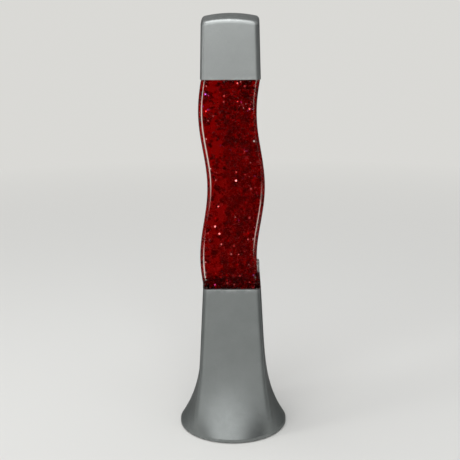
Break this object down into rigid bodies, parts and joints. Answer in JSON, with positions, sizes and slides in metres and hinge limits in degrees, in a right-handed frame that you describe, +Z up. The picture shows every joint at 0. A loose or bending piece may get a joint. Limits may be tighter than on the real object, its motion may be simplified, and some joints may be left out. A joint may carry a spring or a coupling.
{
  "type": "glitter lamp",
  "caption": "Table lamp with a flared base, a wavy clear vessel of red liquid and glitter lit from below by a screw-in bulb, and a lift-off domed cap.",
  "frame": {"origin": "on the table, under the middle of the round foot", "axes": "+Z up, front towards -Y, cord inlet towards +Y, the vessel bows towards +X at mid height"},
  "size_m": [0.1068, 0.1064, 0.4059],
  "materials": {
    "silver_paint": "satin metallic silver paint on moulded plastic",
    "clear_plastic": "clear, polished, thick-walled",
    "dyed_liquid": "dark red, clear",
    "glitter_foil": "bright foil flakes",
    "black_plastic": "fine grain",
    "black_rubber": "matt",
    "seal_white": "soft white disc",
    "zinc_steel": "zinc plated",
    "brass": "drawn brass",
    "cream_phenolic": "moulded, glossy",
    "spun_aluminium": "bright, spun",
    "bulb_glass": "pearl",
    "nickel": "nickel plated",
    "black_glaze": "black glass insulator",
    "brown_lead": "insulated wire",
    "blue_lead": "insulated wire"
  },
  "bodies": {
    "base": {"base_shell": "silver_paint", "seat_gasket": "black_rubber", "bottom_plate": "black_plastic", "plate_screws": "zinc_steel", "rubber_feet": "black_rubber", "cord_bushing": "black_rubber", "holder_bracket": "zinc_steel", "bracket_screws": "zinc_steel", "threaded_nipple": "brass", "nipple_nut": "brass", "lamp_holder": "cream_phenolic", "holder_sleeve": "brass", "holder_contact": "brass", "holder_terminals": "brass", "reflector": "spun_aluminium", "reflector_ring": "cream_phenolic", "terminal_block": "cream_phenolic", "terminal_barrels": "brass", "terminal_screws": "zinc_steel", "block_screw": "zinc_steel", "lead_live": "brown_lead", "lead_neutral": "blue_lead"},
    "vessel": {"vessel": "clear_plastic", "liquid": "dyed_liquid", "glitter": "glitter_foil", "filler_cap": "black_plastic", "filler_seal": "seal_white"},
    "cap": {"top_cap": "silver_paint"},
    "bulb_tip": {"bulb_contact": "nickel"},
    "bulb": {"bulb_glass": "bulb_glass", "bulb_screw_cap": "nickel", "bulb_insulator": "black_glaze", "filament_stem": "bulb_glass", "filament": "nickel"}
  },
  "joints": [
    {"name": "vessel_lift", "type": "slide", "parent": "base", "child": "vessel", "axis": [0, 0, 1], "range_m": [0, 0.06]},
    {"name": "cap_lift", "type": "slide", "parent": "vessel", "child": "cap", "axis": [0, 0, 1], "range_m": [0, 0.06]},
    {"name": "bulb_rise", "type": "slide", "parent": "base", "child": "bulb_tip", "axis": [0, 0, 1], "range_m": [0, 0.0127]},
    {"name": "bulb_turn", "type": "hinge", "parent": "bulb_tip", "child": "bulb", "pos_m": [0, 0, 0.06], "axis": [0, 0, 1], "range_deg": [0, 1620]}
  ],
  "couplings": [
    {"joint": "bulb_rise", "follows": "bulb_turn", "m_per_rad": 0.00044882}
  ]
}
